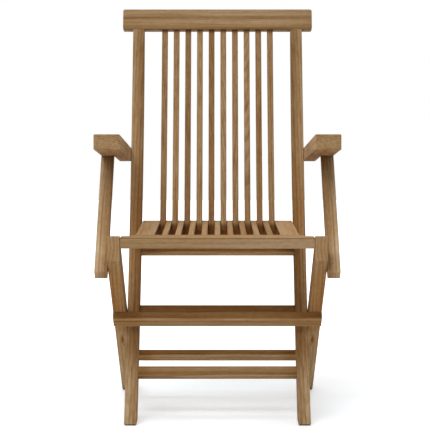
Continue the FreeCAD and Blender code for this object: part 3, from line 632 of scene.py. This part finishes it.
def slat_row_tree():
    tree = bpy.data.node_groups.new("slat_row", "GeometryNodeTree")
    add_input(tree, "Path", "Geometry")
    for name, kind in (("Slats", "Int"), ("Spacing", "Float"), ("Width", "Float"),
                       ("Thickness", "Float"), ("Corner", "Float"), ("Finish", "Material")):
        add_input(tree, name, kind)
    add_input(tree, "Slats made", "Geometry", "OUTPUT")
    given = add_node(tree, "NodeGroupInput").outputs
    # one slat: a rounded rectangle that runs along the path
    upright = add_node(tree, "GeometryNodeSetCurveNormal", mode="Z_UP")
    tree.links.new(given["Path"], upright.inputs["Curve"])
    shape = add_node(tree, "GeometryNodeCurvePrimitiveQuadrilateral")
    tree.links.new(given["Width"], shape.inputs["Width"])
    tree.links.new(given["Thickness"], shape.inputs["Height"])
    rounded = add_node(tree, "GeometryNodeFilletCurve", mode="POLY")
    rounded.inputs["Count"].default_value = 4
    tree.links.new(shape.outputs["Curve"], rounded.inputs["Curve"])
    tree.links.new(given["Corner"], rounded.inputs["Radius"])
    sweep = add_node(tree, "GeometryNodeCurveToMesh")
    tree.links.new(upright.outputs["Curve"], sweep.inputs["Curve"])
    tree.links.new(rounded.outputs["Curve"], sweep.inputs["Profile Curve"])
    sweep.inputs["Fill Caps"].default_value = True
    # a copy at each place of the row, which is centred on the chair
    span = maths(tree, "MULTIPLY", maths(tree, "SUBTRACT", given["Slats"], 1), given["Spacing"])
    first = join_axes(tree, maths(tree, "MULTIPLY", span, -0.5))
    places = add_node(tree, "GeometryNodeMeshLine", mode="OFFSET")
    tree.links.new(given["Slats"], places.inputs["Count"])
    tree.links.new(first, places.inputs["Start Location"])
    tree.links.new(join_axes(tree, given["Spacing"]), places.inputs["Offset"])
    copies = add_node(tree, "GeometryNodeInstanceOnPoints")
    tree.links.new(places.outputs["Mesh"], copies.inputs["Points"])
    tree.links.new(sweep.outputs["Mesh"], copies.inputs["Instance"])
    # plain faces with their finish
    real = add_node(tree, "GeometryNodeRealizeInstances")
    tree.links.new(copies.outputs["Instances"], real.inputs["Geometry"])
    coat = add_node(tree, "GeometryNodeSetMaterial")
    tree.links.new(real.outputs["Geometry"], coat.inputs["Geometry"])
    tree.links.new(given["Finish"], coat.inputs["Material"])
    made = add_node(tree, "NodeGroupOutput")
    tree.links.new(coat.outputs["Geometry"], made.inputs["Slats made"])
    return tree


SLAT_ROW = slat_row_tree()
print("sockets of the tree:", [socket.name for socket in SLAT_ROW.interface.items_tree])

# %% [markdown]
# A modifier runs the tree on a path, which is a curve without thickness. The sizes go to the modifier by
# the identifier of each socket, before the object is first evaluated, because a name may occur twice.

# %% Running the tree on a path
def slat_row(name, path, **sizes):
    """Runs the tree on a path and returns the mesh that it makes."""
    line = bpy.data.curves.new(name + "_path", "CURVE")
    line.dimensions = "3D"
    spline = line.splines.new("POLY")
    spline.points.add(len(path) - 1)
    for point, place in zip(spline.points, path):
        point.co = (*place, 1.0)
    maker = bpy.data.objects.new(name + "_maker", line)
    bpy.context.scene.collection.objects.link(maker)
    run = maker.modifiers.new("slats", "NODES")
    run.node_group = SLAT_ROW
    for socket in SLAT_ROW.interface.items_tree:
        if socket.in_out == "INPUT" and socket.name in sizes:
            run[socket.identifier] = sizes[socket.name]
    return settled(maker)


print("inputs by identifier:", [socket.identifier for socket in SLAT_ROW.interface.items_tree])

# %% [markdown]
# The slats follow the same arc as the stiles, a circle of 3.2 m radius in the side view, and lie a little
# behind the stiles' front. They end inside the rails, where real slats have tenons. The arc comes from a
# drawing of the side view whose zero lies CHAIR_MIDDLE in front of the middle of the chair. No two slats
# come from the same place in the plank: the second and the fourth from the left are pale, and their
# neighbours are dark.

# %% The back slats
CHAIR_MIDDLE = 0.287907
ARC_RADIUS = 3.204
ARC_CENTRE = (-2.5 - CHAIR_MIDDLE, 1.902)
SEAT_UNDER = 0.4365
TOP_RAIL_FOOT = 0.949
BACK_SLATS = 10
SET_BACK_AT_FOOT = 0.022
SET_BACK_AT_TOP = 0.012
INTO_SEAT_RAILS = 0.004
INTO_TOP_RAIL = 0.003
SLAT_THICK = 0.013
SLAT_CORNER = 0.0016
PATH_STEPS = 32


def on_arc(behind, z):
    """A point at height z on the arc that lies so far behind the stiles' front."""
    radius = ARC_RADIUS + behind
    return (0.0, ARC_CENTRE[0] + math.sqrt(radius ** 2 - (z - ARC_CENTRE[1]) ** 2), z)


def slat_line(z):
    share = (z - SEAT_UNDER) / (TOP_RAIL_FOOT - SEAT_UNDER)
    return on_arc(SET_BACK_AT_FOOT + (SET_BACK_AT_TOP - SET_BACK_AT_FOOT) * share, z)


first_low, first_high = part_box("back_slat_01")
slat_width = first_high.x - first_low.x
slat_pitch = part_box("back_slat_02")[0].x - first_low.x
start, end = SEAT_UNDER - INTO_SEAT_RAILS, TOP_RAIL_FOOT + INTO_TOP_RAIL
path = [slat_line(start + (end - start) * k / PATH_STEPS) for k in range(PATH_STEPS + 1)]
SLAT_DEPTHS = [1.34, 1.09, 1.46, 1.08, 1.41, 1.12, 1.17, 1.16, 1.41, 1.21]
# the slats are painted darker below the seat's top and just under the top rail: painted shade where they run
# into the seat and the rail
back_finish = teak("teak_back_slats", STILE_GRAIN, centre=(0.0, 0.12, 0.69), warmth=0.18, lines=0.36,
                   shift=14.0, row=(slat_pitch, 0.0, SLAT_DEPTHS),
                   steps=[("Z", 0.458, 0.444, 0.9), ("Z", 0.938, 0.946, 0.9)])
mesh = slat_row("back_slats", path, Slats=BACK_SLATS, Spacing=slat_pitch, Width=slat_width,
                Thickness=SLAT_THICK, Corner=SLAT_CORNER, Finish=back_finish)
back_slats = finished("back_slats", mesh, body_of["back_slat_01"])
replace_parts(back_slats, *["back_slat_%02d" % (k + 1) for k in range(BACK_SLATS)])
print("back slats:", len(mesh.polygons), "faces, width", round(slat_width, 4), "pitch", round(slat_pitch, 4))

# %% [markdown]
# The seat is the same row with a straight path. Nine narrow slats lie between two wider ones, and outside
# those a flat rail closes the seat on each side. Narrow and wide slats need rows of their own, so the loop
# below runs the tree three times and reads each width and gap from the frame. Below their top faces the
# slats are painted dark, which is painted shade in the narrow gaps between them.

# %% The seat slats
SEAT_TOP = 0.4565
SEAT_SLAT_THICK = 0.020
SEAT_SLAT_FRONT = 0.046 - CHAIR_MIDDLE
SIDE_CORNER = 0.0006
# the sides of the slats below their top faces are painted dark: painted shade in the gaps
PAINTED_SHADE_IN_GAPS = [("Z", 0.4455, 0.0095, 1.5)]
rear_rail_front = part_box("seat_rear_rail")[0].y
middle_z = SEAT_TOP - SEAT_SLAT_THICK / 2
path = [(0.0, SEAT_SLAT_FRONT, middle_z), (0.0, rear_rail_front, middle_z)]
SEAT_DEPTHS = [1.05, 1.12, 1.00, 1.06, 1.10, 0.98, 1.04, 1.12, 1.00, 1.08, 1.05]
seat_finish = teak("teak_seat_slats", SEAT_GRAIN, centre=(0.0, -0.05, 0.45), lines=0.24, shift=15.0,
                   row=(slat_pitch, 0.5, SEAT_DEPTHS), stripes=PAINTED_SHADE_IN_GAPS)
side_finish = teak("teak_seat_sides", SEAT_GRAIN, centre=middle_of("seat_slat_11"), mirrored=True,
                   depth=0.95, warmth=0.38, lines=0.24, shift=16.0, stripes=PAINTED_SHADE_IN_GAPS)
SEAT_ROWS = (
    ("seat_slats", "seat_slat_10", 9, SLAT_CORNER, seat_finish,
     ["seat_slat_%02d" % k for k in range(2, 11)]),
    ("outer_seat_slats", "seat_slat_11", 2, SIDE_CORNER, side_finish, ["seat_slat_01", "seat_slat_11"]),
    ("seat_side_rails", "seat_side_rail_right", 2, SIDE_CORNER, side_finish,
     ["seat_side_rail_left", "seat_side_rail_right"]),
)
for name, last, count, corner, finish, held in SEAT_ROWS:
    low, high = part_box(last)
    gap = (low.x + high.x) / (count - 1)
    mesh = slat_row(name, path, Slats=count, Spacing=gap, Width=high.x - low.x,
                    Thickness=SEAT_SLAT_THICK, Corner=corner, Finish=finish)
    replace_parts(finished(name, mesh, body_of[last]), *held)
    print(name, len(mesh.polygons), "faces, gap", round(gap, 4))

# %% [markdown]
# The fittings are stainless steel: bolts with domed heads sunk in the wood, nuts and washers. Steel has
# no colour of its own, so it needs something to reflect; fine turning marks keep it from looking like a
# mirror. The inserts in the legs are brass, and the feet stand on thin strips of dark rubber.

# %% Fittings
def metal(name, colour, rough):
    """Turned metal: fine marks from the tool, and duller where it has been handled."""
    finish, tree, shader = new_finish(name)
    place = chair_place(tree)
    marks = noise(tree, place, 900.0, 900.0, 2.0, 0.6)
    worn = ramp(tree, noise(tree, place, 120.0, 120.0, 3.0, 0.6), 0.45, 0.75)
    dull = (colour[0] * 0.6, colour[1] * 0.58, colour[2] * 0.55, 1.0)
    tone = blend(tree, maths(tree, "MULTIPLY", worn, 0.5), colour, dull)
    tree.links.new(tone, shader.inputs["Base Color"])
    shader.inputs["Metallic"].default_value = 1.0
    plug(tree, maths(tree, "MULTIPLY_ADD", marks, 0.22, rough), shader.inputs["Roughness"])
    add_relief(tree, shader, marks, strength=0.15, distance=0.0001)
    return finish


def rubber(name):
    """Dark rubber with paler dust in its hollows."""
    finish, tree, shader = new_finish(name)
    place = chair_place(tree)
    dusty = ramp(tree, noise(tree, place, 260.0, 260.0, 3.0, 0.6), 0.40, 0.80)
    tone = blend(tree, dusty, to_linear(44, 34, 26), to_linear(66, 54, 43))
    tree.links.new(tone, shader.inputs["Base Color"])
    plug(tree, maths(tree, "MULTIPLY_ADD", dusty, 0.2, 0.65), shader.inputs["Roughness"])
    add_relief(tree, shader, dusty, strength=0.3, distance=0.0002)
    return finish


steel = metal("brushed_steel", to_linear(188, 187, 184), 0.28)
brass = metal("dull_brass", to_linear(196, 160, 96), 0.34)
pad_rubber = rubber("dark_rubber")
dowel_wood = teak("teak_dowels", LEG_GRAIN, centre=middle_of("board_dowels"), depth=1.2, shift=17.0)
FITTING_RUB = 0.0002
for name in sorted(nodes):
    if any(kind in name for kind in ("bolt", "nut", "washer")):
        dress(name, steel, "steel_", FITTING_RUB)
dress("leg_inserts", brass, "brass_", FITTING_RUB)
dress("board_dowels", dowel_wood, "wood_", FITTING_RUB)
for name in ("front_foot_pads", "rear_foot_pads"):
    dress(name, pad_rubber, "rubber_", FITTING_RUB)

# %% [markdown]
# The studio is a pale floor under broad soft light from above and in front. One large face is enough: it
# takes the chair's soft shadow, which a backdrop of plain colour would not. Away from the chair the floor
# glows for the camera, more with the distance, so that it meets the white behind it without a line.

# %% The floor
FLOOR_SIZE = 14.0
# near the chair the floor is painted a little cooler, which cancels the warm light that the teak throws onto
# it
FLOOR_NEAR = (0.81, 0.848, 0.885, 1.0)
FLOOR_FAR = (0.845, 0.85, 0.855, 1.0)
TONE_REACH = (0.25, 0.60)
GLOW_REACH = (0.35, 2.0)
GLOW_NEAR = 0.38


def seen_by_camera(tree):
    """1 for what the camera sees, straight, in a gloss or through glass, and 0 for what lights the chair."""
    rays = add_node(tree, "ShaderNodeLightPath").outputs
    seen = maths(tree, "MAXIMUM", rays["Is Camera Ray"], rays["Is Glossy Ray"])
    return maths(tree, "MAXIMUM", seen, rays["Is Transmission Ray"])


floor_mesh = bpy.data.meshes.new("studio_floor")
half = FLOOR_SIZE / 2
floor_mesh.from_pydata([(-half, -half, 0), (half, -half, 0), (half, half, 0), (-half, half, 0)], [],
                       [(0, 1, 2, 3)])
floor = bpy.data.objects.new("studio_floor", floor_mesh)
bpy.context.scene.collection.objects.link(floor)
floor_finish, tree, paint = new_finish("studio_floor")
paint.inputs["Roughness"].default_value = 0.9
paint.inputs["Specular IOR Level"].default_value = 0.0
reach = vectors(tree, "LENGTH", chair_place(tree))
tone = blend(tree, ramp(tree, reach, *TONE_REACH), FLOOR_NEAR, FLOOR_FAR)
tree.links.new(tone, paint.inputs["Base Color"])
glow = add_node(tree, "ShaderNodeEmission")
spread = ramp(tree, reach, *GLOW_REACH, GLOW_NEAR, 1.0)
plug(tree, maths(tree, "MULTIPLY", seen_by_camera(tree), spread), glow.inputs["Strength"])
both = add_node(tree, "ShaderNodeAddShader")
tree.links.new(paint.outputs["BSDF"], both.inputs[0])
tree.links.new(glow.outputs["Emission"], both.inputs[1])
tree.links.new(both.outputs["Shader"], tree.nodes["Material Output"].inputs["Surface"])
floor_mesh.materials.append(floor_finish)
print("floor:", FLOOR_SIZE, "m square")

# %% [markdown]
# Behind the chair the camera sees plain white. That comes from the strength of the world for what the
# camera sees, and not from more light. For all other rays the world is a dim dome, brighter above than at
# the horizon, which fills the shadows as the pale walls of a studio do.

# %% The world
HORIZON_LIGHT = 0.30
ZENITH_LIGHT = 0.50
world = bpy.data.worlds.new("studio_world")
world.use_nodes = True
bpy.context.scene.world = world
tree = world.node_tree
sky = tree.nodes["Background"]
sky.inputs["Color"].default_value = (1.0, 1.0, 1.0, 1.0)
height = axes_of(tree, add_node(tree, "ShaderNodeTexCoord").outputs["Generated"])["Z"]
dome = ramp(tree, height, 0.0, 1.0, HORIZON_LIGHT, ZENITH_LIGHT)
plug(tree, ramp(tree, seen_by_camera(tree), 0.0, 1.0, dome, 1.0), sky.inputs["Strength"])
print("the dome gives", HORIZON_LIGHT, "at the horizon and", ZENITH_LIGHT, "overhead")

# %% [markdown]
# Small lamps throw hard shadows, so all three are wide. The one in front models the faces, the long narrow
# one above lights the arms and the seat and draws the soft shadow on the floor, and a weak one behind
# keeps the chair's rear from going dull.

# %% The lamps
LAMPS_AIM_AT = Vector((0.0, 0.0, 0.5))


def soft_lamp(name, place, size, power):
    lamp_data = bpy.data.lights.new(name, "AREA")
    lamp_data.shape = "RECTANGLE"
    lamp_data.size, lamp_data.size_y = size
    lamp_data.energy = power
    lamp = bpy.data.objects.new(name, lamp_data)
    lamp.location = place
    aim = LAMPS_AIM_AT - Vector(place)
    lamp.rotation_euler = aim.to_track_quat("-Z", "Y").to_euler()
    bpy.context.scene.collection.objects.link(lamp)
    print(name, power, "W, from", round(aim.length, 2), "m")


soft_lamp("back_light", (0.8, 3.2, 2.0), (2.4, 2.0), 16)
soft_lamp("front_light", (-0.7, -2.4, 2.9), (2.4, 2.4), 59)
soft_lamp("top_light", (-0.5, -0.02, 3.2), (0.5, 2.6), 37)

# %% [markdown]
# The picture shows colours as they are written, without a film look. The box of what is seen and the box
# of the imported model are both noted, so that they can be compared.

# %% Colours as written
bpy.context.scene.view_settings.view_transform = "Standard"
